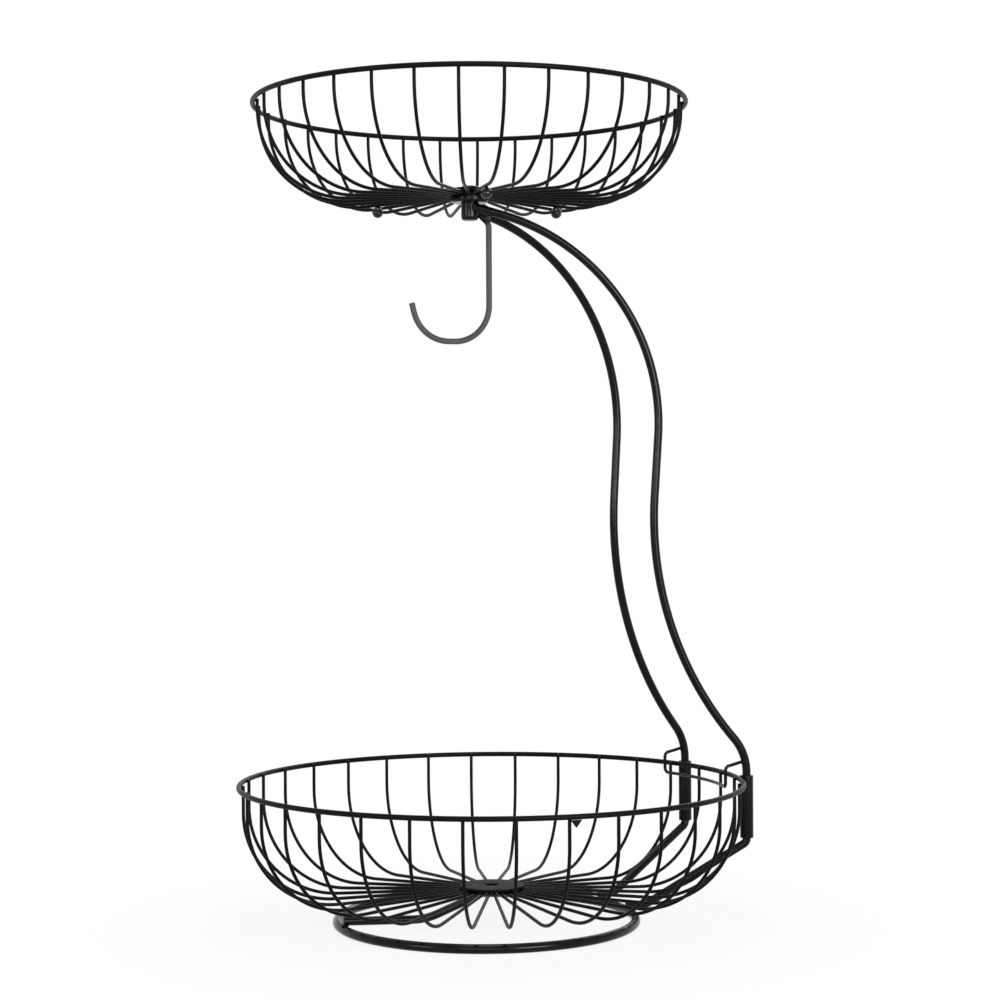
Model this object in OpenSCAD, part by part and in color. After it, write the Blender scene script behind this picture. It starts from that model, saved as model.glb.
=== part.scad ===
// Two-tier wire fruit basket with a banana hook, in millimetres.
// The origin is on the table, on the axis of the lower basket. +Z is up, and +X points
// from the basket to its two arms. The arms, legs and sleeves are mirror pairs about Y = 0.

/* [Baskets] */
// Outer diameter of the lower basket at its rim
lower_d = 300; // [290:1:310]
// Outer diameter of the upper basket at its rim
upper_d = 257; // [240:1:270]
// Height of the lower rim's centre line above the table
lower_rim_z = 83; // [80:0.5:92]
// Height of the upper rim above the lower rim
tier_gap = 400; // [370:1:430]
// How far the upper basket stands back from the lower basket's axis
upper_back = 11.8; // [8:0.1:18]
// Thickness of the rim wire
rim_wire = 3; // [2.4:0.1:4]
// Thickness of the bent basket wires
rib_wire = 2; // [1.6:0.1:2.4]
// Number of bent wires in each basket, a multiple of four
rib_count = 32; // [24:4:32]
// Straight wall below the lower rim
lower_wall = 15.5; // [10:0.5:17]
// Straight wall below the upper rim
upper_wall = 5; // [2:0.5:10]
// Radius of the bend between wall and floor
floor_bend = 51; // [46:0.5:54]
// Slope of the floor up to the hub, in degrees
floor_rise = 2.6; // [2:0.1:6]
// Turn of the upper basket's wires about its axis, in degrees
upper_turn = 9.7; // [0:0.1:20]

/* [Hubs and collar] */
// Diameter of each hub plate
hub_d = 38; // [30:0.5:42]
// Thickness of each hub plate
hub_thick = 1.5; // [1:0.1:2.5]
// Centre hole of each hub plate
hub_hole = 8; // [7:0.1:9]
// Outer diameter of the collar under the upper hub
collar_d = 10.2; // [9.4:0.1:14]
// Length of the collar below the upper hub
collar_len = 15.8; // [14:0.1:20]
// Diameter of the screw that holds the upper basket down
screw_d = 5; // [4:0.5:6]
// Diameter of the three ball feet
ball_d = 6.5; // [5:0.5:9]
// Distance of the ball feet from the upper basket's axis
ball_ring_r = 61; // [50:1:75]

/* [Arms and sleeves] */
// Thickness of the two arms
arm_wire = 5; // [4.2:0.1:5.6]
// Distance between the axes of the two sleeves
sleeve_spread = 81; // [76:0.2:82]
// Outer diameter of a sleeve
sleeve_d = 8; // [7.4:0.1:10]
// Length of a sleeve, from the top of the rim downwards
sleeve_len = 37.5; // [32:0.5:42]
// Length of arm that stands in its sleeve
arm_plug = 20; // [14:0.5:22]
// Straight length of arm above its sleeve
arm_neck = 1.8; // [1:0.1:6]
// Radius of the bend above the sleeve
neck_bend = 31; // [15:1:36]
// Lean of an arm towards the middle above the neck, in degrees
neck_lean = 40.5; // [34:0.5:46]
// Lean of an arm away from the middle at half height, in degrees
waist_lean = 3.7; // [2:0.1:7]
// Straight length of an arm at half height
waist_len = 36.4; // [15:0.2:45]
// Lean of an arm towards the middle at its tip, in degrees
tip_lean = 75.2; // [66:0.2:80]
// Straight length of an arm at its tip
tip_len = 15.6; // [6:0.2:30]
// Distance at which the line of an arm passes the collar's axis
arm_side = 4.2; // [3.6:0.1:5]

/* [Banana hook] */
// Thickness of the hook wire
hook_wire = 3.5; // [3:0.1:4.5]
// Distance of the hook's straight stem from the collar's axis
hook_out = 12; // [10:0.5:16]
// Depth of the hook's lowest centre line below the collar's top
hook_drop = 87.2; // [75:0.1:105]
// Radius of the two bends of the hook
hook_bend = 22; // [16:0.5:26]
// Straight length between the two bends
hook_flat = 4; // [1:0.5:10]
// Straight length at the free end
hook_tip = 5.5; // [3:0.5:12]

/* [Base] */
// Diameter of the foot ring on its centre line
foot_ring_d = 176; // [160:1:190]
// Thickness of the foot ring
foot_wire = 5.5; // [4:0.1:6]
// How far the foot ring stands back from the lower basket's axis
foot_back = 3.5; // [0:0.1:6]
// Thickness of the legs and of the stay
leg_wire = 5; // [4:0.1:5.2]
// Length of leg that stands in its sleeve
leg_plug = 12; // [8:0.5:14]
// Radius of a leg's bend under its sleeve
leg_bend = 4.5; // [4:0.5:8]
// Radius of a leg's bend at the foot ring
toe_bend = 15; // [10:1:20]
// Direction in which a leg crosses the foot ring, in degrees from the arms
leg_turn = 13; // [11:0.25:13.5]
// Straight length of leg that lies over the foot ring
toe_len = 8; // [6:0.5:10]
// Radius of the stay's bend
stay_bend = 40; // [25:1:50]
// Slope of the stay up to the hub, in degrees
stay_rise = 19.5; // [18:0.5:26]

/* [Rim clip and tab] */
// Thickness of the clip wire
clip_wire = 2; // [1.6:0.1:2.6]
// Gap between the clip and the inside of the lower rim
clip_in = 5.5; // [2.8:0.1:7]
// Height of the clip's ends above the lower rim's centre line
clip_up = 8.75; // [6:0.25:10]
// Depth of the clip below the lower rim's centre line
clip_down = 5; // [4:0.25:9]
// Width of the tab under the lower rim
tab_w = 6.3; // [4:0.1:8]
// Height of the tab
tab_h = 4.2; // [3:0.1:6]
// Thickness of the tab
tab_thick = 1.2; // [0.8:0.1:2]
// Direction of the tab, in degrees from the arms
tab_turn = 265.5; // [262:0.5:270]

/* [Hidden] */

$fn = 48;
powder_black = [0.09, 0.09, 0.095];
powder_grey = [0.20, 0.20, 0.21];

// Paint and weld film that keeps two welded pieces apart
seat = 0.15;
// Play of an arm or leg in its sleeve, and of the screw in its bore, on the diameter
play = 0.3;
// A joint between a bend and a straight is a ball this much wider than the wire
joint_bead = 0.04;
// Overlap of a cutting tool beyond the face that it cuts
cut = 1;

// Rims and wires
pitch = 360 / rib_count;
quarter = rib_count / 4;
lower_rim_r = (lower_d - rim_wire) / 2;
upper_rim_r = (upper_d - rim_wire) / 2;
upper_rim_z = lower_rim_z + tier_gap;
rib_inset = rim_wire / 2 + seat + rib_wire / 2;
lower_rib_r = lower_rim_r - rib_inset;
upper_rib_r = upper_rim_r - rib_inset;
rib_end_r = (rib_wire + seat) / (2 * sin(pitch / 2));
rib_lap = 0.8;

// Radius at which a wire's floor bend ends, and the wire's height at any radius inside its wall
function bend_end_r(rib_r) = rib_r - floor_bend * (1 + sin(floor_rise));
function arc_drop(t) = floor_bend * sqrt(1 - t * t);
function rib_z(rim_z, wall, rib_r, r) =
    r < bend_end_r(rib_r)
        ? rim_z - wall - floor_bend * cos(floor_rise) + (bend_end_r(rib_r) - r) * tan(floor_rise)
        : rim_z - wall - arc_drop(1 - (rib_r - r) / floor_bend);
lower_rib_end_z = rib_z(lower_rim_z, lower_wall, lower_rib_r, rib_end_r);
upper_rib_end_z = rib_z(upper_rim_z, upper_wall, upper_rib_r, rib_end_r);

// Hub plates lie on the inner ends of the wires
rib_half = rib_wire / 2 / cos(floor_rise);
lower_hub_z = lower_rib_end_z + rib_half + seat;
upper_hub_z = upper_rib_end_z + rib_half + seat;
hub_edge = 0.4;
spigot_d = hub_hole - play;
collar_top_z = upper_hub_z - seat;
collar_round = 1;
screw_depth = 12;
screw_head_d = 11;
screw_head_h = 2.6;
recess_w = 1.2;
recess_len = 5.6;
recess_depth = 1.4;
bore_depth = screw_depth + 1.5;

// Sleeves stand outside the lower rim, and arms and legs plug into them
sleeve_r = lower_rim_r + rim_wire / 2 + seat + sleeve_d / 2;
sleeve_y = sleeve_spread / 2;
sleeve_x = sqrt(sleeve_r * sleeve_r - sleeve_y * sleeve_y);
sleeve_top_z = lower_rim_z + rim_wire / 2;
sleeve_bottom_z = sleeve_top_z - sleeve_len;

// Displacement of a unit-radius bend between two headings, measured from the start direction
function turn_step(h1, h2) = sign(h2 - h1) * [cos(h1) - cos(h2), sin(h2) - sin(h1)];
function heading(h) = [sin(h), cos(h)];
// The two factors f, g that make f * u + g * v equal w
function two_factors(u, v, w) =
    let (det = u.x * v.y - u.y * v.x)
    [(w.x * v.y - w.y * v.x) / det, (u.x * w.y - u.y * w.x) / det];

// An arm lies in an upright plane and ends on the flank of the collar
arm_span = norm([sleeve_x + upper_back, sleeve_y]);
arm_yaw = atan2(sleeve_y, sleeve_x + upper_back) - asin(arm_side / arm_span);
arm_short = sqrt(max(0, (collar_d / 2 + seat) * (collar_d / 2 + seat) - arm_side * arm_side));
arm_reach = sqrt(arm_span * arm_span - arm_side * arm_side) - arm_short;
arm_air = 4;
arm_tip_z = upper_rib_end_z - rib_wire / 2 - arm_air - arm_wire / 2;
arm_rise = arm_tip_z - sleeve_top_z - arm_neck;
arm_radii = two_factors(turn_step(neck_lean, -waist_lean), turn_step(-waist_lean, tip_lean),
    [arm_reach, arm_rise] - neck_bend * turn_step(0, neck_lean)
    - waist_len * heading(-waist_lean) - tip_len * heading(tip_lean));

// A leg crosses the foot ring in the gap between two wires
foot_ring_r = foot_ring_d / 2;
over_ring_z = foot_wire + seat + leg_wire / 2;
leg_step = [sleeve_x + foot_back - foot_ring_r * cos(leg_turn), sleeve_y - foot_ring_r * sin(leg_turn)];
leg_yaw = atan2(leg_step.y, leg_step.x);
toe_start = norm(leg_step) - toe_len / 2;
leg_fall = [toe_start - leg_bend, sleeve_bottom_z - over_ring_z - toe_bend];
leg_bend_gain = toe_bend - leg_bend;
leg_straight = sqrt(leg_fall * leg_fall - leg_bend_gain * leg_bend_gain);
leg_lean = atan2(leg_fall.x, leg_fall.y) - atan2(leg_bend_gain, leg_straight);

// The stay runs from the far side of the foot ring to the wires under the lower hub
stay_dip = 3;
stay_over = 1;
stay_end = 1;
stay_hub_z = lower_rib_end_z - rib_half - seat - leg_wire / 2 / cos(stay_rise);
function slope(a) = [cos(a), sin(a)];
stay_lens = two_factors(slope(-stay_dip), slope(stay_rise),
    [foot_back + foot_ring_r - rib_end_r, stay_hub_z - over_ring_z]
    - stay_bend * [sin(stay_rise) + sin(stay_dip), cos(stay_dip) - cos(stay_rise)]);

// Banana hook
hook_seat = 7;
hook_lean = 50;
hook_neck = 6;
hook_bend_far = 76;
hook_start = (hook_out - hook_neck * (1 - cos(hook_lean))) / sin(hook_lean);
hook_fall = hook_start * cos(hook_lean) + hook_neck * sin(hook_lean);
hook_stem = hook_drop - hook_seat - hook_fall - hook_bend;

// Clip over the lower rim, between the arms
clip_r = lower_rim_r - rim_wire / 2 - clip_in - clip_wire / 2;
clip_bend = 3;
clip_swing = asin((sleeve_y - clip_bend) / clip_r);
clip_corner = [clip_r * cos(clip_swing), clip_r * sin(clip_swing)]
    + clip_bend * [-sin(clip_swing), cos(clip_swing)];
clip_rise = clip_up + clip_down - 2 * clip_bend;
clip_top_z = lower_rim_z + clip_up;
arm_slope = asin(max(0, clip_top_z - sleeve_top_z - arm_neck) / neck_bend);
arm_face = arm_wire / 2 / cos(arm_slope) + clip_wire / 2 * tan(arm_slope);
clip_end_x = sleeve_x - neck_bend * (1 - cos(arm_slope)) - arm_face - seat;

module bead(d) sphere(d = d + joint_bead);

// One bend that starts at the origin along +Z and turns towards +X, or -X for a negative angle
module bend(d, r, a)
    translate([sign(a) * r, 0, 0]) rotate([90, 0, 0]) mirror([a > 0 ? 1 : 0, 0, 0])
        rotate_extrude(angle = abs(a)) translate([r, 0]) circle(d = d);

module past_bend(r, a)
    translate([sign(a) * r, 0, 0]) rotate([0, a, 0]) translate([-sign(a) * r, 0, 0]) children();

// A wire bent in one plane. Each step of its plan is [straight length, bend radius, bend angle].
module bent_wire(d, plan, i = 0) {
    step = plan[i];
    if (step[0] > 0)
        cylinder(d = d, h = step[0]);
    if (i < len(plan) - 1)
        translate([0, 0, step[0]]) {
            bead(d);
            bend(d, step[1], step[2]);
            past_bend(step[1], step[2]) {
                bead(d);
                bent_wire(d, plan, i + 1);
            }
        }
}

module wire_ring(r, d) rotate_extrude() translate([r, 0]) circle(d = d);

module rib(rib_r, rim_z, wall)
    translate([rib_r, 0, rim_z + rib_lap]) rotate([0, 180, 0])
        bent_wire(rib_wire, [
            [wall + rib_lap, floor_bend, 90 + floor_rise],
            [(bend_end_r(rib_r) - rib_end_r) / cos(floor_rise), 0, 0]]);

module rib_quarter(q, turn, rib_r, rim_z, wall)
    for (k = [q * quarter : (q + 1) * quarter - 1])
        rotate([0, 0, turn + k * pitch]) rib(rib_r, rim_z, wall);

module lower_wires(q) color(powder_black)
    rib_quarter(q, pitch / 2, lower_rib_r, lower_rim_z, lower_wall);

module upper_wires(q) color(powder_black) translate([-upper_back, 0, 0])
    rib_quarter(q, upper_turn, upper_rib_r, upper_rim_z, upper_wall);

module hub_plate()
    rotate_extrude() polygon([
        [hub_hole / 2, 0], [hub_d / 2, 0], [hub_d / 2, hub_thick - hub_edge],
        [hub_d / 2 - hub_edge, hub_thick], [hub_hole / 2, hub_thick]]);

module lower_rim() color(powder_black) translate([0, 0, lower_rim_z]) wire_ring(lower_rim_r, rim_wire);

module lower_hub() color(powder_black) translate([0, 0, lower_hub_z]) hub_plate();

module upper_rim() color(powder_black)
    translate([-upper_back, 0, upper_rim_z]) wire_ring(upper_rim_r, rim_wire);

module upper_hub() color(powder_black) translate([-upper_back, 0, upper_hub_z]) hub_plate();

module ball_foot(k) color(powder_black)
    translate([-upper_back, 0, 0]) rotate([0, 0, upper_turn + k * pitch])
        translate([ball_ring_r, 0,
            rib_z(upper_rim_z, upper_wall, upper_rib_r, ball_ring_r) - rib_half - seat - ball_d / 2])
            sphere(d = ball_d);

module foot_ring() color(powder_black)
    translate([-foot_back, 0, foot_wire / 2]) wire_ring(foot_ring_r, foot_wire);

module sleeve() color(powder_black)
    translate([sleeve_x, sleeve_y, sleeve_bottom_z]) difference() {
        cylinder(d = sleeve_d, h = sleeve_len);
        translate([0, 0, -cut]) cylinder(d = arm_wire + play, h = sleeve_len + 2 * cut);
    }

module arm() color(powder_black) difference() {
    translate([sleeve_x, sleeve_y, sleeve_top_z - arm_plug]) rotate([0, 0, 180 + arm_yaw])
        bent_wire(arm_wire, [
            [arm_plug + arm_neck, neck_bend, neck_lean],
            [0, arm_radii[0], -neck_lean - waist_lean],
            [waist_len, arm_radii[1], waist_lean + tip_lean],
            [tip_len, 0, 0]]);
    collar_clear();
}

module leg() color(powder_black)
    translate([sleeve_x, sleeve_y, sleeve_bottom_z + leg_plug])
        rotate([0, 0, leg_yaw]) rotate([0, 180, 0])
            bent_wire(leg_wire, [
                [leg_plug, leg_bend, leg_lean],
                [leg_straight, toe_bend, 90 - leg_lean],
                [toe_len, 0, 0]]);

module base_stay() color(powder_black)
    translate([-foot_back - foot_ring_r, 0, over_ring_z]) rotate([0, 90 + stay_dip, 0])
        translate([0, 0, -stay_over])
            bent_wire(leg_wire, [
                [stay_over + stay_lens[0], stay_bend, -stay_dip - stay_rise],
                [stay_lens[1] + stay_end, 0, 0]]);

module clip_half() {
    translate([clip_corner.x, clip_corner.y, lower_rim_z - clip_down + clip_bend]) {
        bead(clip_wire);
        rotate([0, 0, 90 + clip_swing]) mirror([0, 0, 1]) bend(clip_wire, clip_bend, -90);
        bent_wire(clip_wire, [
            [clip_rise, clip_bend, 90],
            [clip_end_x - clip_corner.x - clip_bend, 0, 0]]);
    }
    rotate([0, 0, clip_swing]) translate([clip_r, 0, lower_rim_z - clip_down]) bead(clip_wire);
}

module rim_clip() color(powder_black) {
    translate([0, 0, lower_rim_z - clip_down]) rotate([0, 0, -clip_swing])
        rotate_extrude(angle = 2 * clip_swing) translate([clip_r, 0]) circle(d = clip_wire);
    clip_half();
    mirror([0, 1, 0]) clip_half();
}

module rim_tab() color(powder_black)
    rotate([0, 0, tab_turn]) translate([lower_rim_r - tab_thick / 2, 0, lower_rim_z - rim_wire / 2 - seat])
        rotate([90, 0, 90]) linear_extrude(tab_thick)
            polygon([[-tab_w / 2, 0], [tab_w / 2, 0], [0, -tab_h]]);

module collar() color(powder_black)
    translate([-upper_back, 0, collar_top_z]) difference() {
        rotate_extrude() polygon([
            [0, -collar_len],
            for (a = [0 : 15 : 90])
                [collar_d / 2 - collar_round * (1 - sin(a)), -collar_len + collar_round * (1 - cos(a))],
            [collar_d / 2, 0], [spigot_d / 2, 0], [spigot_d / 2, hub_thick], [0, hub_thick]]);
        translate([0, 0, hub_thick - bore_depth]) cylinder(d = screw_d + play, h = bore_depth + cut);
    }

// Room that the arms and the hook leave for the collar
module collar_clear()
    translate([-upper_back, 0, collar_top_z - 2 * collar_len])
        cylinder(d = collar_d + 2 * seat, h = 3 * collar_len);

module hub_screw() color(powder_black)
    translate([-upper_back, 0, upper_hub_z + hub_thick + seat]) difference() {
        union() {
            translate([0, 0, -screw_depth]) cylinder(d = screw_d, h = screw_depth + cut);
            rotate_extrude() polygon([
                [0, 0], [screw_head_d / 2, 0],
                for (a = [0 : 15 : 90]) [
                    screw_head_d / 2 - screw_head_h / 2 * (1 - cos(a)),
                    screw_head_h / 2 * (1 + sin(a))],
                [0, screw_head_h]]);
        }
        for (a = [0, 90]) rotate([0, 0, a])
            translate([-recess_len / 2, -recess_w / 2, screw_head_h - recess_depth])
                cube([recess_len, recess_w, recess_depth + cut]);
    }

module banana_hook() color(powder_grey)
    translate([-upper_back, 0, collar_top_z]) difference() {
        translate([0, 0, -hook_seat]) rotate([0, 180 - hook_lean, 0])
            bent_wire(hook_wire, [
                [hook_start, hook_neck, hook_lean],
                [hook_stem, hook_bend, 90],
                [hook_flat, hook_bend, hook_bend_far],
                [hook_tip, 0, 0]]);
        translate([upper_back, 0, -collar_top_z]) collar_clear();
    }

foot_ring();
leg();  // leg_rear
mirror([0, 1, 0]) leg();  // leg_front
base_stay();
sleeve();  // sleeve_rear
mirror([0, 1, 0]) sleeve();  // sleeve_front
lower_rim();
lower_wires(0);  // lower_wires_1
lower_wires(1);  // lower_wires_2
lower_wires(2);  // lower_wires_3
lower_wires(3);  // lower_wires_4
lower_hub();
rim_tab();
rim_clip();
arm();  // arm_rear
mirror([0, 1, 0]) arm();  // arm_front
collar();
banana_hook();
hub_screw();
upper_hub();
upper_rim();
upper_wires(0);  // upper_wires_1
upper_wires(1);  // upper_wires_2
upper_wires(2);  // upper_wires_3
upper_wires(3);  // upper_wires_4
ball_foot(0);  // ball_foot_1
ball_foot(ceil(rib_count / 3));  // ball_foot_2
ball_foot(rib_count - floor(rib_count / 3));  // ball_foot_3
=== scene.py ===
"""Dresses the two-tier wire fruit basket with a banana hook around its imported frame.

Sizes are in millimetres and angles in degrees. A mesh takes them to metres. The lines of the wires are worked
out from the same sizes as in the part's source, so that each piece lies on the solid that it replaces."""

import math
import random
from collections import namedtuple

import bmesh
import bpy
from mathutils import Matrix, Vector, noise


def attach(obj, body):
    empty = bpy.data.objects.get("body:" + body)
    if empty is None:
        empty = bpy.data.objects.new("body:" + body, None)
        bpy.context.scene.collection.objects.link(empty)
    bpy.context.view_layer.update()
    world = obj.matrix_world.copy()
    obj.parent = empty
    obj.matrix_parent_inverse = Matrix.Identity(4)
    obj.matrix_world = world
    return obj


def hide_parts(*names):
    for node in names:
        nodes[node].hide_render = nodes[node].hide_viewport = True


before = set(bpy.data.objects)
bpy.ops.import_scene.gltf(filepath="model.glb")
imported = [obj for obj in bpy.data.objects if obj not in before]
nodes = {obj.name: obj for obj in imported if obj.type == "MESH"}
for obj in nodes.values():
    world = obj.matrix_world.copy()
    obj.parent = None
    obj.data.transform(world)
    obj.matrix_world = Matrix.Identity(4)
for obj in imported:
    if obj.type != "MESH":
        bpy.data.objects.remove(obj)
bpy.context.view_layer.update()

MM = 0.001
SEAT = 0.15         # air at a welded or seated face

# Baskets: turn is the angle of the first wire, wall the straight part of a wire under its rim
Basket = namedtuple("Basket", "name axis turn rim_r rim_z wall")
RIM_WIRE = 3.0
RIB_WIRE = 2.0
RIB_COUNT = 32
PITCH = 360 / RIB_COUNT
RIB_LAP = 0.8       # a wire's end over the middle of the rim
RIB_INSET = RIM_WIRE / 2 + SEAT + RIB_WIRE / 2
FLOOR_BEND = 51.0
FLOOR_RISE = 2.6
UPPER_BACK = 11.8
LOWER = Basket("lower", Vector((0, 0, 0)), PITCH / 2, 148.5, 83.0, 15.5)
UPPER = Basket("upper", Vector((-UPPER_BACK, 0, 0)), 9.7, 127.0, 483.0, 5.0)
TURN_JITTER = 0.12  # degrees
TOP_JITTER = 0.12

# Hub plates, collar and ball feet
HUB_D = 38.0
HUB_THICK = 1.5
HUB_HOLE = 8.0
COLLAR_D = 10.2
COLLAR_LEN = 15.8
COLLAR_ROUND = 2.6
SCREW_BORE_D = 5.3
SCREW_BORE_WALL = 13.5
SCREW_BORE_TIP = 14.0
LATHE_AXIS = 0.01   # radius that stands for the axis in a closed profile
FLANGE_R = 11.0
FLANGE_THICK = 5.4
FLANGE_LAP = 0.4    # how far the flange goes into the collar
FLANGE_ROUND = 1.4
BALL_D = 6.5
BALL_RING_R = 61.0
BALL_RIBS = (0, 11, 22)

# Arms and sleeves
ARM_WIRE = 5.0
ARM_PLUG = 20.0
ARM_NECK = 1.8
NECK_BEND = 31.0
NECK_LEAN = 40.5
WAIST_LEAN = 3.7
WAIST_LEN = 36.4
TIP_LEAN = 75.2
TIP_LEN = 15.6
ARM_SIDE = 4.2
ARM_AIR = 4.0       # between the upper wires and the arms' tips
SLEEVE_D = 8.0
SLEEVE_BORE = 5.3
SLEEVE_LEN = 37.5
SLEEVE_Y = 40.5

# Banana hook
HOOK_WIRE = 3.5
HOOK_OUT = 12.0
HOOK_DROP = 87.2
HOOK_BEND = 22.0
HOOK_FLAT = 4.0
HOOK_TIP = 5.5
HOOK_SEAT = 7.0     # from the collar's top down to the middle of the hook's end
HOOK_LEAN = 50.0
HOOK_NECK_BEND = 6.0
HOOK_FAR_TURN = 76.0

# Foot ring, legs and stay
FOOT_RING_R = 88.0
FOOT_WIRE = 5.5
FOOT_BACK = 3.5
LEG_WIRE = 5.0
LEG_PLUG = 12.0
LEG_BEND = 4.5
LEG_TURN = 13.0
TOE_BEND = 15.0
TOE_LEN = 8.0
STAY_BEND = 40.0
STAY_RISE = 19.5
STAY_DIP = 3.0
STAY_OVER = 1.0
STAY_END = 1.0

# Clip over the lower rim
CLIP_WIRE = 2.0
CLIP_BEND = 3.0
CLIP_IN = 5.5
CLIP_UP = 8.75
CLIP_DOWN = 5.0
CLIP_DROOP = 1.0    # the outer corners lie lower by this, and the ends climb back and over
CLIP_END_RISE = 1.8

# Smoothness of the meshes
RIB_SIDES = 14
CLIP_SIDES = 16
RIM_SIDES = 20
HOOK_SIDES = 24
ROD_SIDES = 28
RIM_STEPS = 240
FOOT_STEPS = 200
HUB_STEPS = 128
COLLAR_STEPS = 96
SLEEVE_STEPS = 64
FLOOR_STEPS = 96
BALL_SIDES = 40
BALL_STEPS = 24
BEAD_FINENESS = 3
EDGE_STEPS = 4
CORNER_STEPS = 6
ARC_STEP = 4.0          # degrees
ARM_ARC_STEP = 1.5
CLIP_ARC_STEP = 10.0
CLIP_RUN_STEPS = 10
STRAIGHT_STEP = 14.0
END_STEPS = (0.0, 0.35, 0.75, 1.0)

# Rounded edges, as paint gives them
CORNER_SHARE = 0.45     # the most that a corner may take of each of its sides
RIB_EDGE = 0.35
ROD_EDGE = 0.5
CLIP_EDGE = 0.3
HUB_EDGE = 0.45
SLEEVE_EDGE = 0.35
COLLAR_EDGE = 0.6
FLANGE_EDGE = 0.4
FLANGE_INNER_EDGE = 0.1

# Weld beads: half sizes along the three axes that each call gives
RIM_BEAD = (0.55, 1.15, 0.95)
HUB_BEAD = (1.3, 0.8, 0.45)
HUB_BEAD_IN = 2.6   # from the plate's edge
BALL_BEAD = (1.9, 1.2, 0.7)
SLEEVE_BEAD = (0.8, 2.6, 1.5)
SLEEVE_BEAD_DOWN = 0.2
TOE_BEAD = (2.3, 2.3, 1.0)
TIP_BEAD = (1.3, 2.9, 3.0)
TIP_BEAD_OUT = 0.4
TIP_BEAD_UP = 0.2
CLIP_BEAD = (0.7, 1.35, 1.35)
CLIP_BEAD_OUT = 0.3
STAY_BEAD = (2.6, 2.0, 0.9)
STAY_BEAD_IN = 1.5
STAY_BEAD_DOWN = 0.3
HOOK_BEAD = (0.9, 2.1, 2.2)
NECK_BEAD = (2.2, 3.2, 1.5)
NECK_BEAD_ALONG = 1.0
NECK_BEAD_UP = 2.0
BEAD_WAVE = 1.7
BEAD_SEED_STEP = 0.7
HUB_BEAD_SEED = 50

X, Y, Z = Vector((1, 0, 0)), Vector((0, 1, 0)), Vector((0, 0, 1))
rng = random.Random(7)


def sind(a):
    return math.sin(math.radians(a))


def cosd(a):
    return math.cos(math.radians(a))


def tand(a):
    return math.tan(math.radians(a))


def about_z(v, angle):
    return Matrix.Rotation(math.radians(angle), 3, "Z") @ v


# Meshes


def new_object(name, bm, smooth=True):
    mesh = bpy.data.meshes.new(name)
    bmesh.ops.recalc_face_normals(bm, faces=bm.faces)
    bm.to_mesh(mesh)
    bm.free()
    for face in mesh.polygons:
        face.use_smooth = smooth
    obj = bpy.data.objects.new(name, mesh)
    bpy.context.scene.collection.objects.link(obj)
    return obj


def bend_path(start, ahead, aside, plan, arc_step=ARC_STEP):
    """Centre line of a wire. Each step of its plan is (straight, radius, angle), bending towards aside."""
    p, t, n = start.copy(), ahead.normalized(), aside.normalized()
    points = [p.copy()]
    for straight, radius, angle in plan:
        if straight > 0:
            count = max(1, math.ceil(straight / STRAIGHT_STEP))
            points += [p + t * straight * i / count for i in range(1, count + 1)]
            p = points[-1].copy()
        if angle:
            side = math.copysign(1, angle)
            centre = p + n * side * radius
            count = max(2, math.ceil(abs(angle) / arc_step))
            for i in range(1, count + 1):
                a = math.radians(abs(angle)) * i / count
                points.append(centre - n * side * radius * math.cos(a) + t * radius * math.sin(a))
            a = math.radians(abs(angle))
            t, n = t * math.cos(a) + n * side * math.sin(a), n * math.cos(a) - t * side * math.sin(a)
            p = points[-1].copy()
    return points


def cut_end(station, inward, edge):
    """Stations of a cut end with a rounded edge, from its flat face to the full wire."""
    centre, tangent, side, radius = station
    return [
        (centre + inward * edge * (1 - cosd(90 * f)), tangent, side, radius - edge * (1 - sind(90 * f)))
        for f in END_STEPS
    ]


def add_tube(bm, points, wire, sides, edge=0.0, closed=False):
    """A round wire along points, either a closed ring or with cut ends that have a rounded edge."""
    radius = wire / 2
    count = len(points)
    if closed:
        tangents = [(points[(i + 1) % count] - points[i - 1]).normalized() for i in range(count)]
    else:
        tangents = [
            (points[min(i + 1, count - 1)] - points[max(i - 1, 0)]).normalized() for i in range(count)
        ]
    side = tangents[0].orthogonal().normalized()
    stations = []
    for point, tangent in zip(points, tangents):
        side = (side - tangent * side.dot(tangent)).normalized()
        stations.append((point, tangent, side.copy(), radius))
    if not closed:
        head = cut_end(stations[0], tangents[0], edge)
        tail = cut_end(stations[-1], -tangents[-1], edge)
        stations = head + stations[1:-1] + tail[::-1]
    rings = []
    for centre, tangent, u, r in stations:
        v = tangent.cross(u)
        rings.append([
            bm.verts.new((centre + (u * cosd(360 * k / sides) + v * sind(360 * k / sides)) * r) * MM)
            for k in range(sides)
        ])
    spans = list(zip(rings, rings[1:]))
    if closed:
        last, first = rings[-1], rings[0]
        near = min(range(sides), key=lambda k: (first[k].co - last[0].co).length)
        spans.append((last, first[near:] + first[:near]))
    for a, b in spans:
        for k in range(sides):
            bm.faces.new((a[k], a[(k + 1) % sides], b[(k + 1) % sides], b[k]))
    if not closed:
        bm.faces.new(rings[0][::-1])
        bm.faces.new(rings[-1])


def tube(name, points, wire, sides, **options):
    bm = bmesh.new()
    add_tube(bm, points, wire, sides, **options)
    return new_object(name, bm)


def ring(name, centre, radius, wire, steps, sides):
    """A closed round ring of wire that lies level."""
    angles = [360 * i / steps for i in range(steps)]
    points = [centre + Vector((radius * cosd(a), radius * sind(a), 0)) for a in angles]
    return tube(name, points, wire, sides, closed=True)


def lathe(name, profile, centre, steps):
    """Turns a closed profile of (radius, height) points about a vertical axis through centre."""
    bm = bmesh.new()
    rings = []
    for k in range(steps):
        out = about_z(X, 360 * k / steps)
        rings.append([bm.verts.new((centre + out * r + Z * z) * MM) for r, z in profile])
    for k in range(steps):
        a, b = rings[k], rings[(k + 1) % steps]
        for i in range(len(profile)):
            j = (i + 1) % len(profile)
            bm.faces.new((a[i], b[i], b[j], a[j]))
    return new_object(name, bm)


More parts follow.
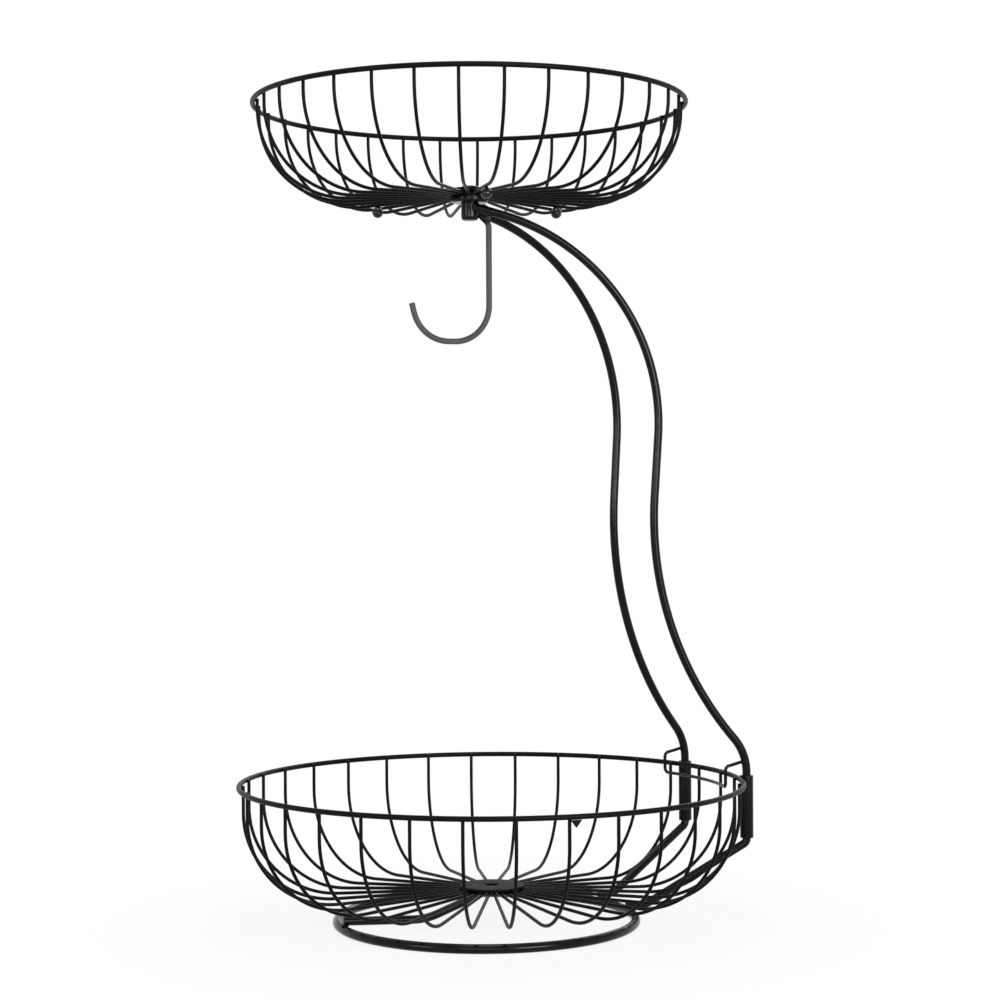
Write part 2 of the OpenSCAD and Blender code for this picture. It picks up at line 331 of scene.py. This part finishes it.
def rounded(profile, radius, steps=EDGE_STEPS):
    """A closed profile with its corners rounded. A corner may bring its own radius as a third value."""
    out = []
    count = len(profile)
    for i in range(count):
        p = Vector(profile[i][:2])
        a = Vector(profile[i - 1][:2]) - p
        b = Vector(profile[(i + 1) % count][:2]) - p
        own = profile[i][2] if len(profile[i]) > 2 else radius
        cut = min(own, a.length * CORNER_SHARE, b.length * CORNER_SHARE)
        start, end = p + a.normalized() * cut, p + b.normalized() * cut
        for s in range(steps + 1):
            f = s / steps
            q = start * (1 - f) ** 2 + p * 2 * f * (1 - f) + end * f * f
            out.append((q.x, q.y))
    return out


def add_bead(bm, centre, axes, sizes, seed, rough=0.1):
    """A weld bead: a small uneven lump with half sizes along three axes."""
    u, v, w = (axis * size for axis, size in zip(axes, sizes))
    shift = Vector((seed, 2 * seed, 3 * seed))
    for vert in bmesh.ops.create_icosphere(bm, subdivisions=BEAD_FINENESS, radius=1.0)["verts"]:
        d = vert.co.normalized()
        swell = 1 + rough * noise.noise(d * BEAD_WAVE + shift)
        vert.co = (centre + (u * d.x + v * d.y + w * d.z) * swell) * MM


def mirror_y(points):
    return [Vector((p.x, -p.y, p.z)) for p in points]


# Lines of the wires, worked out as in the part's source


def turn_step(h1, h2):
    """How far a bend of radius 1 goes, as (out, up), from heading h1 to heading h2."""
    s = math.copysign(1, h2 - h1)
    return Vector((s * (cosd(h1) - cosd(h2)), s * (sind(h2) - sind(h1))))


def heading(h):
    return Vector((sind(h), cosd(h)))


def two_factors(u, v, w):
    """The factors a and b with which a * u + b * v is w."""
    det = u.x * v.y - u.y * v.x
    return (w.x * v.y - w.y * v.x) / det, (u.x * w.y - u.y * w.x) / det


def rib_r(basket):
    return basket.rim_r - RIB_INSET


def bend_end_r(basket):
    """The radius at which the large bend of a basket wire ends and its rising floor begins."""
    return rib_r(basket) - FLOOR_BEND * (1 + sind(FLOOR_RISE))


def rib_z(basket, r):
    """Height of a basket wire's centre line at radius r."""
    bend_z = basket.rim_z - basket.wall
    if r < bend_end_r(basket):
        return bend_z - FLOOR_BEND * cosd(FLOOR_RISE) + (bend_end_r(basket) - r) * tand(FLOOR_RISE)
    t = 1 - (rib_r(basket) - r) / FLOOR_BEND
    return bend_z - FLOOR_BEND * math.sqrt(1 - t * t)


rib_end_r = (RIB_WIRE + SEAT) / (2 * sind(PITCH / 2))
rib_half = RIB_WIRE / 2 / cosd(FLOOR_RISE)


def hub_z(basket):
    """Height of the hub plate's underside, which rests on the inner ends of the wires."""
    return rib_z(basket, rib_end_r) + rib_half + SEAT


def rib_end_z(basket):
    return hub_z(basket) - SEAT - rib_half


collar_top_z = hub_z(UPPER) - SEAT
sleeve_r = LOWER.rim_r + RIM_WIRE / 2 + SEAT + SLEEVE_D / 2
sleeve_x = math.sqrt(sleeve_r**2 - SLEEVE_Y**2)
sleeve_top_z = LOWER.rim_z + RIM_WIRE / 2
sleeve_bottom_z = sleeve_top_z - SLEEVE_LEN

# Arm: two free radii bring its tip to the collar's flank
arm_span = math.hypot(sleeve_x + UPPER_BACK, SLEEVE_Y)
arm_yaw = math.degrees(math.atan2(SLEEVE_Y, sleeve_x + UPPER_BACK) - math.asin(ARM_SIDE / arm_span))
arm_short = math.sqrt((COLLAR_D / 2 + SEAT) ** 2 - ARM_SIDE**2)
arm_reach = math.sqrt(arm_span**2 - ARM_SIDE**2) - arm_short
arm_tip_z = rib_end_z(UPPER) - RIB_WIRE / 2 - ARM_AIR - ARM_WIRE / 2
arm_radii = two_factors(
    turn_step(NECK_LEAN, -WAIST_LEAN),
    turn_step(-WAIST_LEAN, TIP_LEAN),
    Vector((arm_reach, arm_tip_z - sleeve_top_z - ARM_NECK))
    - NECK_BEND * turn_step(0, NECK_LEAN)
    - WAIST_LEN * heading(-WAIST_LEAN)
    - TIP_LEN * heading(TIP_LEAN),
)
arm_path = bend_path(
    Vector((sleeve_x, SLEEVE_Y, sleeve_top_z - ARM_PLUG)),
    Z,
    about_z(X, 180 + arm_yaw),
    [
        (ARM_PLUG + ARM_NECK, NECK_BEND, NECK_LEAN),
        (0, arm_radii[0], -NECK_LEAN - WAIST_LEAN),
        (WAIST_LEN, arm_radii[1], WAIST_LEAN + TIP_LEAN),
        (TIP_LEN, 0, 0),
    ],
    arc_step=ARM_ARC_STEP,
)

# Leg: from the sleeve down and in, then level over the foot ring
over_ring_z = FOOT_WIRE + SEAT + LEG_WIRE / 2
foot_axis = Vector((-FOOT_BACK, 0, 0))
leg_cross = foot_axis + about_z(X, LEG_TURN) * FOOT_RING_R
leg_aim = Vector((sleeve_x - leg_cross.x, SLEEVE_Y - leg_cross.y))
leg_yaw = math.degrees(math.atan2(leg_aim.y, leg_aim.x))
leg_fall = Vector((leg_aim.length - TOE_LEN / 2 - LEG_BEND, sleeve_bottom_z - over_ring_z - TOE_BEND))
leg_straight = math.sqrt(leg_fall.length_squared - (TOE_BEND - LEG_BEND) ** 2)
leg_lean = math.degrees(math.atan2(leg_fall.x, leg_fall.y) - math.atan2(TOE_BEND - LEG_BEND, leg_straight))
leg_path = bend_path(
    Vector((sleeve_x, SLEEVE_Y, sleeve_bottom_z + LEG_PLUG)),
    -Z,
    about_z(-X, leg_yaw),
    [(LEG_PLUG, LEG_BEND, leg_lean), (leg_straight, TOE_BEND, 90 - leg_lean), (TOE_LEN, 0, 0)],
)

# Stay: from the far side of the foot ring up to the underside of the lower wires' inner ends
stay_hub_z = rib_end_z(LOWER) - rib_half - SEAT - LEG_WIRE / 2 / cosd(STAY_RISE)
stay_lens = two_factors(
    Vector((cosd(STAY_DIP), -sind(STAY_DIP))),
    Vector((cosd(STAY_RISE), sind(STAY_RISE))),
    Vector((FOOT_BACK + FOOT_RING_R - rib_end_r, stay_hub_z - over_ring_z))
    - STAY_BEND * Vector((sind(STAY_RISE) + sind(STAY_DIP), cosd(STAY_DIP) - cosd(STAY_RISE))),
)
stay_ahead = Vector((cosd(STAY_DIP), 0, -sind(STAY_DIP)))
stay_path = bend_path(
    foot_axis + Vector((-FOOT_RING_R, 0, over_ring_z)) - stay_ahead * STAY_OVER,
    stay_ahead,
    Vector((sind(STAY_DIP), 0, cosd(STAY_DIP))),
    [(STAY_OVER + stay_lens[0], STAY_BEND, STAY_DIP + STAY_RISE), (stay_lens[1] + STAY_END, 0, 0)],
)

# Hook: slanting out of the collar's flank, then straight down and round
hook_start = (HOOK_OUT - HOOK_NECK_BEND * (1 - cosd(HOOK_LEAN))) / sind(HOOK_LEAN)
hook_fall = hook_start * cosd(HOOK_LEAN) + HOOK_NECK_BEND * sind(HOOK_LEAN)
hook_stem = HOOK_DROP - HOOK_SEAT - hook_fall - HOOK_BEND
hook_ahead = Vector((sind(HOOK_LEAN), 0, -cosd(HOOK_LEAN)))
hook_aside = Vector((-cosd(HOOK_LEAN), 0, -sind(HOOK_LEAN)))
hook_skip = (COLLAR_D / 2 + SEAT) / sind(HOOK_LEAN)
hook_path = bend_path(
    UPPER.axis + Z * (collar_top_z - HOOK_SEAT) + hook_ahead * hook_skip,
    hook_ahead,
    hook_aside,
    [
        (hook_start - hook_skip, HOOK_NECK_BEND, HOOK_LEAN),
        (hook_stem, HOOK_BEND, 90),
        (HOOK_FLAT, HOOK_BEND, HOOK_FAR_TURN),
        (HOOK_TIP, 0, 0),
    ],
)

# Clip: along the inside of the rim, up, and out over the rim to the arms
clip_r = LOWER.rim_r - RIM_WIRE / 2 - CLIP_IN - CLIP_WIRE / 2
clip_swing = math.degrees(math.asin((SLEEVE_Y - CLIP_BEND) / clip_r))
clip_top_z = LOWER.rim_z + CLIP_UP
arm_slope = math.degrees(math.asin(max(0, clip_top_z - sleeve_top_z - ARM_NECK) / NECK_BEND))
arm_face = ARM_WIRE / 2 / cosd(arm_slope) + CLIP_WIRE / 2 * tand(arm_slope)
clip_end_x = sleeve_x - NECK_BEND * (1 - cosd(arm_slope)) - arm_face - SEAT


def clip_half():
    """Centre line from the middle of the clip's run to its end at the rear arm."""
    low_z = LOWER.rim_z - CLIP_DOWN
    angles = [clip_swing * i / CLIP_RUN_STEPS for i in range(CLIP_RUN_STEPS + 1)]
    points = [Vector((clip_r * cosd(a), clip_r * sind(a), low_z)) for a in angles]
    along = about_z(Y, clip_swing)
    points += bend_path(points[-1], along, Z, [(0, CLIP_BEND, 90)], CLIP_ARC_STEP)[1:]
    rise = CLIP_UP + CLIP_DOWN - 2 * CLIP_BEND - CLIP_DROOP
    reach = clip_end_x - points[-1].x - CLIP_BEND
    points += bend_path(points[-1], Z, X, [(rise, CLIP_BEND, 90), (reach, 0, 0)], CLIP_ARC_STEP)[1:]
    points[-1] += Z * CLIP_END_RISE
    return points


clip_rear = clip_half()
clip_path = mirror_y(clip_rear)[::-1] + clip_rear[1:]


# Materials

TINT_GRAIN = (60, 3)        # scale and detail of each noise
GLOSS_GRAIN = (180, 4)
PEEL_GRAIN = (700, 2)
FINE_GRAIN = (4200, 2)
NOISE_SPAN = (0.3, 0.7)     # where most of a noise lies
GLOSS_SPREAD = 0.05
PEEL_DEPTH = 0.00006
FINE_DEPTH = 0.000012
BUMP_STRENGTH = 0.7
BLACK_EDGE = 0.0008


def add_noise(tree, place, grain):
    node = tree.nodes.new("ShaderNodeTexNoise")
    node.inputs["Scale"].default_value, node.inputs["Detail"].default_value = grain
    tree.links.new(place.outputs["Object"], node.inputs["Vector"])
    return node.outputs["Fac"]


def map_range(tree, value, span, low, high):
    """Takes a value from the span to the range from low to high."""
    node = tree.nodes.new("ShaderNodeMapRange")
    node.inputs["From Min"].default_value, node.inputs["From Max"].default_value = span
    node.inputs["To Min"].default_value = low
    node.inputs["To Max"].default_value = high
    tree.links.new(value, node.inputs["Value"])
    return node


def mix_colours(tree, factor, first, second):
    """Mixes first, a colour or a socket, with the colour second."""
    node = tree.nodes.new("ShaderNodeMix")
    node.data_type = "RGBA"
    if isinstance(first, tuple):
        node.inputs["A"].default_value = (*first, 1)
    else:
        tree.links.new(first, node.inputs["A"])
    node.inputs["B"].default_value = (*second, 1)
    tree.links.new(factor, node.inputs["Factor"])
    return node.outputs["Result"]


def paint(name, colours, rough, peel, specular, black_above=None):
    """Powder coat: a colour that varies a little, uneven gloss, orange peel and fine grain.

    The colour goes over to black at the height black_above, in metres, where one is given."""
    mat = bpy.data.materials.new(name)
    mat.use_nodes = True
    tree = mat.node_tree
    shader = tree.nodes["Principled BSDF"]
    shader.inputs["Specular IOR Level"].default_value = specular
    place = tree.nodes.new("ShaderNodeTexCoord")

    tint = map_range(tree, add_noise(tree, place, TINT_GRAIN), NOISE_SPAN, 0, 1)
    colour = mix_colours(tree, tint.outputs["Result"], *colours)
    if black_above:
        axes = tree.nodes.new("ShaderNodeSeparateXYZ")
        tree.links.new(place.outputs["Object"], axes.inputs["Vector"])
        edge = (black_above - BLACK_EDGE, black_above + BLACK_EDGE)
        over = map_range(tree, axes.outputs["Z"], edge, 0, 1)
        colour = mix_colours(tree, over.outputs["Result"], colour, BLACK[0])
    tree.links.new(colour, shader.inputs["Base Color"])

    gloss = add_noise(tree, place, GLOSS_GRAIN)
    gloss = map_range(tree, gloss, NOISE_SPAN, rough - GLOSS_SPREAD, rough + GLOSS_SPREAD)
    tree.links.new(gloss.outputs["Result"], shader.inputs["Roughness"])

    normal = None
    for grain, depth in ((PEEL_GRAIN, PEEL_DEPTH * peel), (FINE_GRAIN, FINE_DEPTH * peel)):
        bump = tree.nodes.new("ShaderNodeBump")
        bump.inputs["Strength"].default_value = BUMP_STRENGTH
        bump.inputs["Distance"].default_value = depth
        tree.links.new(add_noise(tree, place, grain), bump.inputs["Height"])
        if normal:
            tree.links.new(normal, bump.inputs["Normal"])
        normal = bump.outputs["Normal"]
    tree.links.new(normal, shader.inputs["Normal"])
    return mat


# Each pair of colours is the darkest and the lightest place of a coat
BLACK = ((0.0010, 0.0010, 0.0012), (0.0030, 0.0030, 0.0034))
WELD_BLACK = ((0.0015, 0.0015, 0.0018), (0.0045, 0.0045, 0.0050))
# The weld at the hook's neck: grey like the hook's coat, and its lighter bluish tone is a painted highlight
WELD_GREY_AND_HIGHLIGHT = ((0.016, 0.016, 0.021), (0.045, 0.045, 0.056))
GREY = ((0.052, 0.052, 0.055), (0.077, 0.077, 0.081))
HOOK_BLACK_ABOVE = 0.4135

# Arguments: name, colours, roughness, orange peel, specular level
black = paint("powder_coat_black", BLACK, 0.18, 0.4, 0.14)
wire_black = paint("powder_coat_wire", BLACK, 0.42, 0.5, 0.07)
weld_black = paint("powder_coat_weld", WELD_BLACK, 0.36, 2.0, 0.07)
plate_black = paint("powder_coat_plate", BLACK, 0.55, 1.2, 0.05)
gloss_black = paint("gloss_black", BLACK, 0.08, 0.05, 0.35)
# The hook's neck weld: grey coat with a painted highlight in its lighter bluish tone
weld_grey_and_highlight = paint("weld_paint_with_painted_highlight", WELD_GREY_AND_HIGHLIGHT, 0.40, 1.2, 0.12)
hook_grey = paint("powder_coat_grey", GREY, 0.42, 0.8, 0.10, black_above=HOOK_BLACK_ABOVE)


def dress(obj, mat, slot, *replaced):
    obj.data.materials.clear()
    obj.data.materials.append(mat)
    if replaced:
        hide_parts(*replaced)
    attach(obj, "root")


for node in nodes.values():
    node.data.materials.clear()
    node.data.materials.append(hook_grey if node.name == "banana_hook" else black)


# Baskets


def basket_wires(basket):
    """The bent wires of a basket, each turned and raised by a little chance."""
    bm = bmesh.new()
    floor_len = (bend_end_r(basket) - rib_end_r) / cosd(FLOOR_RISE)
    for k in range(RIB_COUNT):
        out = about_z(X, basket.turn + k * PITCH + rng.uniform(-TURN_JITTER, TURN_JITTER))
        top_z = basket.rim_z + RIB_LAP + rng.uniform(-TOP_JITTER, TOP_JITTER)
        top = basket.axis + out * rib_r(basket) + Z * top_z
        wall = top.z - (basket.rim_z - basket.wall)
        points = bend_path(top, -Z, -out, [(wall, FLOOR_BEND, 90 + FLOOR_RISE), (floor_len, 0, 0)])
        add_tube(bm, points, RIB_WIRE, RIB_SIDES, edge=RIB_EDGE)
    return new_object(basket.name + "_basket_wires", bm)


def basket_welds(basket):
    """A bead for each wire at the rim, and one under the hub plate."""
    bm = bmesh.new()
    spots = (
        (basket.rim_r - RIM_WIRE / 2 - SEAT / 2, basket.rim_z, RIM_BEAD, 0),
        (HUB_D / 2 - HUB_BEAD_IN, hub_z(basket) - SEAT / 2, HUB_BEAD, HUB_BEAD_SEED),
    )
    for r, z, sizes, seed in spots:
        for k in range(RIB_COUNT):
            out, across = (about_z(v, basket.turn + k * PITCH) for v in (X, Y))
            add_bead(bm, basket.axis + out * r + Z * z, (out, across, Z), sizes, seed + k * BEAD_SEED_STEP)
    return bm


for basket in (LOWER, UPPER):
    wire_nodes = ["%s_wires_%d" % (basket.name, i) for i in (1, 2, 3, 4)]
    dress(basket_wires(basket), wire_black, "powder_black", *wire_nodes)

for basket in (LOWER, UPPER):
    place = basket.axis + Z * basket.rim_z
    rim = ring(basket.name + "_rim_wire", place, basket.rim_r, RIM_WIRE, RIM_STEPS, RIM_SIDES)
    dress(rim, wire_black, "powder_black", basket.name + "_rim")

hole_r, hub_r = HUB_HOLE / 2, HUB_D / 2
hub_profile = rounded([(hole_r, 0), (hub_r, 0), (hub_r, HUB_THICK), (hole_r, HUB_THICK)], HUB_EDGE)
for basket in (LOWER, UPPER):
    plate = lathe(basket.name + "_hub_plate", hub_profile, basket.axis + Z * hub_z(basket), HUB_STEPS)
    dress(plate, plate_black, "powder_black", basket.name + "_hub")

dress(new_object("lower_basket_welds", basket_welds(LOWER)), weld_black, "powder_black")

balls = bmesh.new()
beads = basket_welds(UPPER)
ball_z = rib_z(UPPER, BALL_RING_R) - rib_half - SEAT - BALL_D / 2
for rib in BALL_RIBS:
    out, across = (about_z(v, UPPER.turn + rib * PITCH) for v in (X, Y))
    centre = UPPER.axis + out * BALL_RING_R + Z * ball_z
    ball = bmesh.ops.create_uvsphere(
        balls, u_segments=BALL_SIDES, v_segments=BALL_STEPS, radius=BALL_D / 2 * MM)
    bmesh.ops.translate(balls, verts=ball["verts"], vec=centre * MM)
    add_bead(beads, centre + Z * (BALL_D / 2), (out, across, Z), BALL_BEAD, seed=rib)
ball_nodes = ["ball_foot_%d" % i for i in (1, 2, 3)]
dress(new_object("ball_feet", balls), gloss_black, "powder_black", *ball_nodes)
dress(new_object("upper_basket_welds", beads), weld_black, "powder_black")


# Arms, legs, stay, foot ring, hook and clip

rods = (
    ("arm_rear", arm_path, ARM_WIRE, "arm_rear"),
    ("arm_front", mirror_y(arm_path), ARM_WIRE, "arm_front"),
    ("leg_rear", leg_path, LEG_WIRE, "leg_rear"),
    ("leg_front", mirror_y(leg_path), LEG_WIRE, "leg_front"),
    ("stay", stay_path, LEG_WIRE, "base_stay"),
)
for name, path, wire, node in rods:
    dress(tube(name + "_rod", path, wire, ROD_SIDES, edge=ROD_EDGE), black, "powder_black", node)

place = foot_axis + Z * (FOOT_WIRE / 2)
foot_ring = ring("foot_ring_wire", place, FOOT_RING_R, FOOT_WIRE, FOOT_STEPS, ROD_SIDES)
dress(foot_ring, black, "powder_black", "foot_ring")
hook = tube("hook_wire", hook_path, HOOK_WIRE, HOOK_SIDES, edge=ROD_EDGE)
dress(hook, hook_grey, "powder_grey", "banana_hook")
clip = tube("rim_clip_wire", clip_path, CLIP_WIRE, CLIP_SIDES, edge=CLIP_EDGE)
dress(clip, black, "powder_black", "rim_clip")


# Sleeves, collar and the flange at its top, which the inner ends of the upper wires run into

inner, outer = SLEEVE_BORE / 2, SLEEVE_D / 2
sleeve_profile = rounded([(inner, 0), (outer, 0), (outer, SLEEVE_LEN), (inner, SLEEVE_LEN)], SLEEVE_EDGE)
for name, side in (("rear", 1), ("front", -1)):
    place = Vector((sleeve_x, side * SLEEVE_Y, sleeve_bottom_z))
    sleeve = lathe("sleeve_%s_tube" % name, sleeve_profile, place, SLEEVE_STEPS)
    dress(sleeve, black, "powder_black", "sleeve_" + name)

spigot_r = HUB_HOLE / 2 - SEAT
collar_r = COLLAR_D / 2
bore_r = SCREW_BORE_D / 2
collar_foot = -HUB_THICK - COLLAR_LEN
collar_profile = rounded([
    (bore_r, 0),
    (spigot_r, 0),
    (spigot_r, -HUB_THICK),
    (collar_r, -HUB_THICK),
    (collar_r, collar_foot, COLLAR_ROUND),
    (LATHE_AXIS, collar_foot),
    (LATHE_AXIS, -SCREW_BORE_TIP),
    (bore_r, -SCREW_BORE_WALL),
], COLLAR_EDGE, CORNER_STEPS)
collar = lathe("collar_body", collar_profile, UPPER.axis + Z * (collar_top_z + HUB_THICK), COLLAR_STEPS)
dress(collar, black, "powder_black", "collar")

flange_profile = rounded([
    (collar_r - FLANGE_LAP, 0),
    (FLANGE_R, 0, FLANGE_EDGE),
    (FLANGE_R, -FLANGE_THICK, FLANGE_ROUND),
    (collar_r - FLANGE_LAP, -FLANGE_THICK),
], FLANGE_INNER_EDGE, CORNER_STEPS)
flange = lathe("collar_flange", flange_profile, UPPER.axis + Z * collar_top_z, COLLAR_STEPS)
dress(flange, black, "powder_black")


# Welds of the stand

beads = bmesh.new()
for side in (1, -1):
    out, across = (about_z(v, side * math.degrees(math.asin(SLEEVE_Y / sleeve_r))) for v in (X, Y))
    contact = out * (LOWER.rim_r + RIM_WIRE / 2 + SEAT / 2) + Z * (LOWER.rim_z - SLEEVE_BEAD_DOWN)
    add_bead(beads, contact, (out, across, Z), SLEEVE_BEAD, seed=3 + side, rough=0.2)

    along, across = (about_z(v, side * leg_yaw) for v in (X, Y))
    ring_top = Vector((leg_cross.x, side * leg_cross.y, FOOT_WIRE + SEAT / 2))
    add_bead(beads, ring_top, (along, across, Z), TOE_BEAD, seed=8 + side, rough=0.2)

    tip = Vector((arm_path[-1].x, side * arm_path[-1].y, arm_path[-1].z))
    flank = ((tip - UPPER.axis) * Vector((1, 1, 0))).normalized()
    touch = UPPER.axis + flank * (collar_r + TIP_BEAD_OUT) + Z * (arm_tip_z + TIP_BEAD_UP)
    add_bead(beads, touch, (flank, about_z(flank, 90), Z), TIP_BEAD, seed=12 + side, rough=0.2)

    clip_end = Vector((clip_rear[-1].x + CLIP_BEAD_OUT, side * clip_rear[-1].y, clip_rear[-1].z))
    add_bead(beads, clip_end, (X, Y, Z), CLIP_BEAD, seed=17 + side, rough=0.15)

ring_far = foot_axis + Vector((-FOOT_RING_R, 0, FOOT_WIRE + SEAT / 2))
add_bead(beads, ring_far, (X, Y, Z), TOE_BEAD, seed=21, rough=0.2)
stay_touch = Vector((-rib_end_r - STAY_BEAD_IN, 0, rib_end_z(LOWER) - rib_half - STAY_BEAD_DOWN))
add_bead(beads, stay_touch, (X, Y, Z), STAY_BEAD, seed=23, rough=0.2)
add_bead(beads, hook_path[0], (hook_ahead, Y, hook_aside), HOOK_BEAD, seed=27, rough=0.15)
dress(new_object("stand_welds", beads), weld_black, "powder_black")

# The weld between the hook's neck and the arms above it: grey where the grey hook meets the black arms, and
# its lighter, bluer tone is a painted highlight
beads = bmesh.new()
neck = UPPER.axis + Z * (collar_top_z - HOOK_SEAT) + hook_ahead * (hook_start + NECK_BEAD_ALONG)
add_bead(beads, neck + Z * NECK_BEAD_UP, (X, Y, Z), NECK_BEAD, seed=31, rough=0.25)
dress(new_object("hook_weld", beads), weld_grey_and_highlight, "powder_grey")


# Camera, in metres, fitted to the rims, the lower hub, the foot ring and the arms in the photograph

CAM_PLACE = Vector((-0.4989, -1.2310, 0.2531))
CAM_AZIMUTH = 67.68
CAM_PITCH = 0.0021
CAM_ROLL = 0.0053
CAM_LENS = 80.87        # in millimetres, as the sensor
CAM_SENSOR = 36.0
CAM_NEAR = 0.05
CAM_FAR = 50.0

cam_data = bpy.data.cameras.new("photo_camera")
cam_data.sensor_width = CAM_SENSOR
cam_data.lens = CAM_LENS
cam_data.clip_start = CAM_NEAR
cam_data.clip_end = CAM_FAR
camera = bpy.data.objects.new("photo_camera", cam_data)
bpy.context.scene.collection.objects.link(camera)
ahead = about_z(X, CAM_AZIMUTH)
forward = (ahead - Z * CAM_PITCH).normalized()
right = (about_z(X, CAM_AZIMUTH - 90) - Z * CAM_ROLL).normalized()
up = right.cross(forward).normalized()
right = forward.cross(up).normalized()
turn = Matrix((right, up, -forward)).transposed()
camera.matrix_world = Matrix.Translation(CAM_PLACE) @ turn.to_4x4()
bpy.context.scene.camera = camera


# Lamps, in metres and watts

LAMP_AIM = Vector((0, 0, 0.25))
SOFT_BOXES = (
    # name, degrees to the right of the camera, degrees up, distance, size, power
    ("key_light", 34, 9, 2.2, (0.9, 0.8), 34),
    ("front_light", -4, 5, 2.3, (1.2, 0.22), 10),
    ("left_light", -48, 8, 2.2, (0.6, 0.55), 9),
    ("top_light", 0, 84, 1.7, (0.6, 0.6), 9),
    ("back_light", 165, 25, 2.2, (0.8, 0.8), 6),
)
for name, side, rise, far, size, power in SOFT_BOXES:
    data = bpy.data.lights.new(name, "AREA")
    data.shape = "RECTANGLE"
    data.size, data.size_y = size
    data.energy = power
    lamp = bpy.data.objects.new(name, data)
    bpy.context.scene.collection.objects.link(lamp)
    place = LAMP_AIM + (about_z(-ahead, side) * cosd(rise) + Z * sind(rise)) * far
    lamp.location = place
    lamp.rotation_euler = (LAMP_AIM - place).to_track_quat("-Z", "Y").to_euler()


# World and floor


def colour_node(tree, kind, colour, strength=None):
    node = tree.nodes.new(kind)
    node.inputs["Color"].default_value = (*colour, 1)
    if strength is not None:
        node.inputs["Strength"].default_value = strength
    return node.outputs[0]


def reckon(tree, operation, first, second):
    """Combines a socket with a number or a socket."""
    node = tree.nodes.new("ShaderNodeMath")
    node.operation = operation
    tree.links.new(first, node.inputs[0])
    if isinstance(second, float):
        node.inputs[1].default_value = second
    else:
        tree.links.new(second, node.inputs[1])
    return node.outputs[0]


def lit_white(tree, shade, white, share, output):
    """White as the camera, mirrors and glass see it, and shade for all other light.

    They see white by share, a number or a socket, and shade for the rest."""
    path = tree.nodes.new("ShaderNodeLightPath")
    seen = path.outputs["Is Camera Ray"]
    for ray in ("Is Glossy Ray", "Is Transmission Ray"):
        seen = reckon(tree, "MAXIMUM", seen, path.outputs[ray])
    mix = tree.nodes.new("ShaderNodeMixShader")
    tree.links.new(reckon(tree, "MULTIPLY", seen, share), mix.inputs["Fac"])
    tree.links.new(shade, mix.inputs[1])
    tree.links.new(white, mix.inputs[2])
    out = tree.nodes.new(output)
    tree.links.new(mix.outputs[0], out.inputs["Surface"])


WHITE = (1, 1, 1)
WORLD_COLOUR = (0.95, 0.97, 1.0)
WORLD_STRENGTH = 0.30
FLOOR_COLOUR = (0.93, 0.93, 0.93)
FLOOR_R = 9.0
FLOOR_DROP = 0.0003
FLOOR_FADE = (0.10, 0.28)   # distances from the axis between which the floor's own shading fades
FLOOR_SHARE = 0.87          # of plain white, inside the fade

world = bpy.data.worlds.new("studio")
bpy.context.scene.world = world
world.use_nodes = True
tree = world.node_tree
tree.nodes.clear()
soft = colour_node(tree, "ShaderNodeBackground", WORLD_COLOUR, WORLD_STRENGTH)
white = colour_node(tree, "ShaderNodeBackground", WHITE, 1.0)
lit_white(tree, soft, white, 1.0, "ShaderNodeOutputWorld")

bm = bmesh.new()
bmesh.ops.create_circle(bm, cap_ends=True, segments=FLOOR_STEPS, radius=FLOOR_R)
floor = new_object("studio_floor", bm, smooth=False)
floor.location.z = -FLOOR_DROP
mat = bpy.data.materials.new("studio_floor")
mat.use_nodes = True
tree = mat.node_tree
tree.nodes.clear()
matt = colour_node(tree, "ShaderNodeBsdfDiffuse", FLOOR_COLOUR)
glow = colour_node(tree, "ShaderNodeEmission", WHITE, 1.0)
place = tree.nodes.new("ShaderNodeTexCoord")
distance = tree.nodes.new("ShaderNodeVectorMath")
distance.operation = "LENGTH"
tree.links.new(place.outputs["Object"], distance.inputs[0])
fade = map_range(tree, distance.outputs["Value"], FLOOR_FADE, FLOOR_SHARE, 1.0)
fade.interpolation_type = "SMOOTHSTEP"
lit_white(tree, matt, glow, fade.outputs["Result"], "ShaderNodeOutputMaterial")
floor.data.materials.append(mat)

bpy.context.scene.view_settings.view_transform = "Standard"
